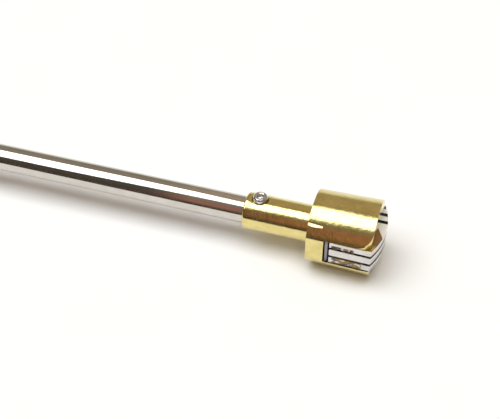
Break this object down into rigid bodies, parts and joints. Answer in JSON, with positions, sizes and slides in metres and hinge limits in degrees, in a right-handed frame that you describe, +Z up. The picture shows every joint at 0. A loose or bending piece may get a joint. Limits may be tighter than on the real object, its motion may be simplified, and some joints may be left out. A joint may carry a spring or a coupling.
{
  "type": "magnetic pickup tool",
  "caption": "Telescoping magnetic pickup tool: brass head with a stack of plates in a cross slot, on a polished rod that slides into a six-sided handle.",
  "frame": {"origin": "below the middle of the tool at rest, on the surface that it lies on", "axes": "+X along the tool towards the magnet, +Z up, +Y across; the side flats of the head face -Y and +Y"},
  "size_m": [0.2668, 0.0182, 0.0163],
  "materials": {
    "brass": "polished, fine turning marks",
    "polished_steel": "polished",
    "plate_steel": "bright, lightly ground",
    "dark_steel": "dull",
    "grip": "moulded, fine texture",
    "cap": "moulded, satin"
  },
  "bodies": {
    "handle": {"handle_tube": "polished_steel", "handle_ferrule": "polished_steel", "handle_grip": "grip", "end_plug": "brass", "end_cap": "cap"},
    "rear_section": {"rear_tube": "polished_steel", "rear_tube_lip": "polished_steel", "rear_tube_bush": "brass"},
    "middle_section": {"middle_tube": "polished_steel", "middle_tube_lip": "polished_steel", "middle_tube_bush": "brass"},
    "front_section": {"front_tube": "polished_steel", "front_tube_plug": "dark_steel", "front_tube_bush": "brass"},
    "head": {"head_body": "brass", "pole_plate_upper": "plate_steel", "magnet_plate": "plate_steel", "pole_plate_lower": "plate_steel", "shim_upper": "dark_steel", "shim_lower": "dark_steel", "back_keeper": "dark_steel", "retaining_pin": "polished_steel"},
    "grub_screw": {"grub_screw": "polished_steel"}
  },
  "joints": [
    {"name": "rear_slide", "type": "slide", "parent": "handle", "child": "rear_section", "axis": [1, 0, 0], "range_m": [0, 0.105]},
    {"name": "middle_slide", "type": "slide", "parent": "rear_section", "child": "middle_section", "axis": [1, 0, 0], "range_m": [0, 0.103]},
    {"name": "front_slide", "type": "slide", "parent": "middle_section", "child": "front_section", "axis": [1, 0, 0], "range_m": [-0.0745, 0.026]},
    {"name": "head_turn", "type": "hinge", "parent": "front_section", "child": "head", "pos_m": [0.11, 0, 0.00815], "axis": [1, 0, 0], "continuous": true},
    {"name": "screw_out", "type": "slide", "parent": "head", "child": "grub_screw", "axis": [0, 0, 1], "range_m": [0, 0.002]}
  ]
}
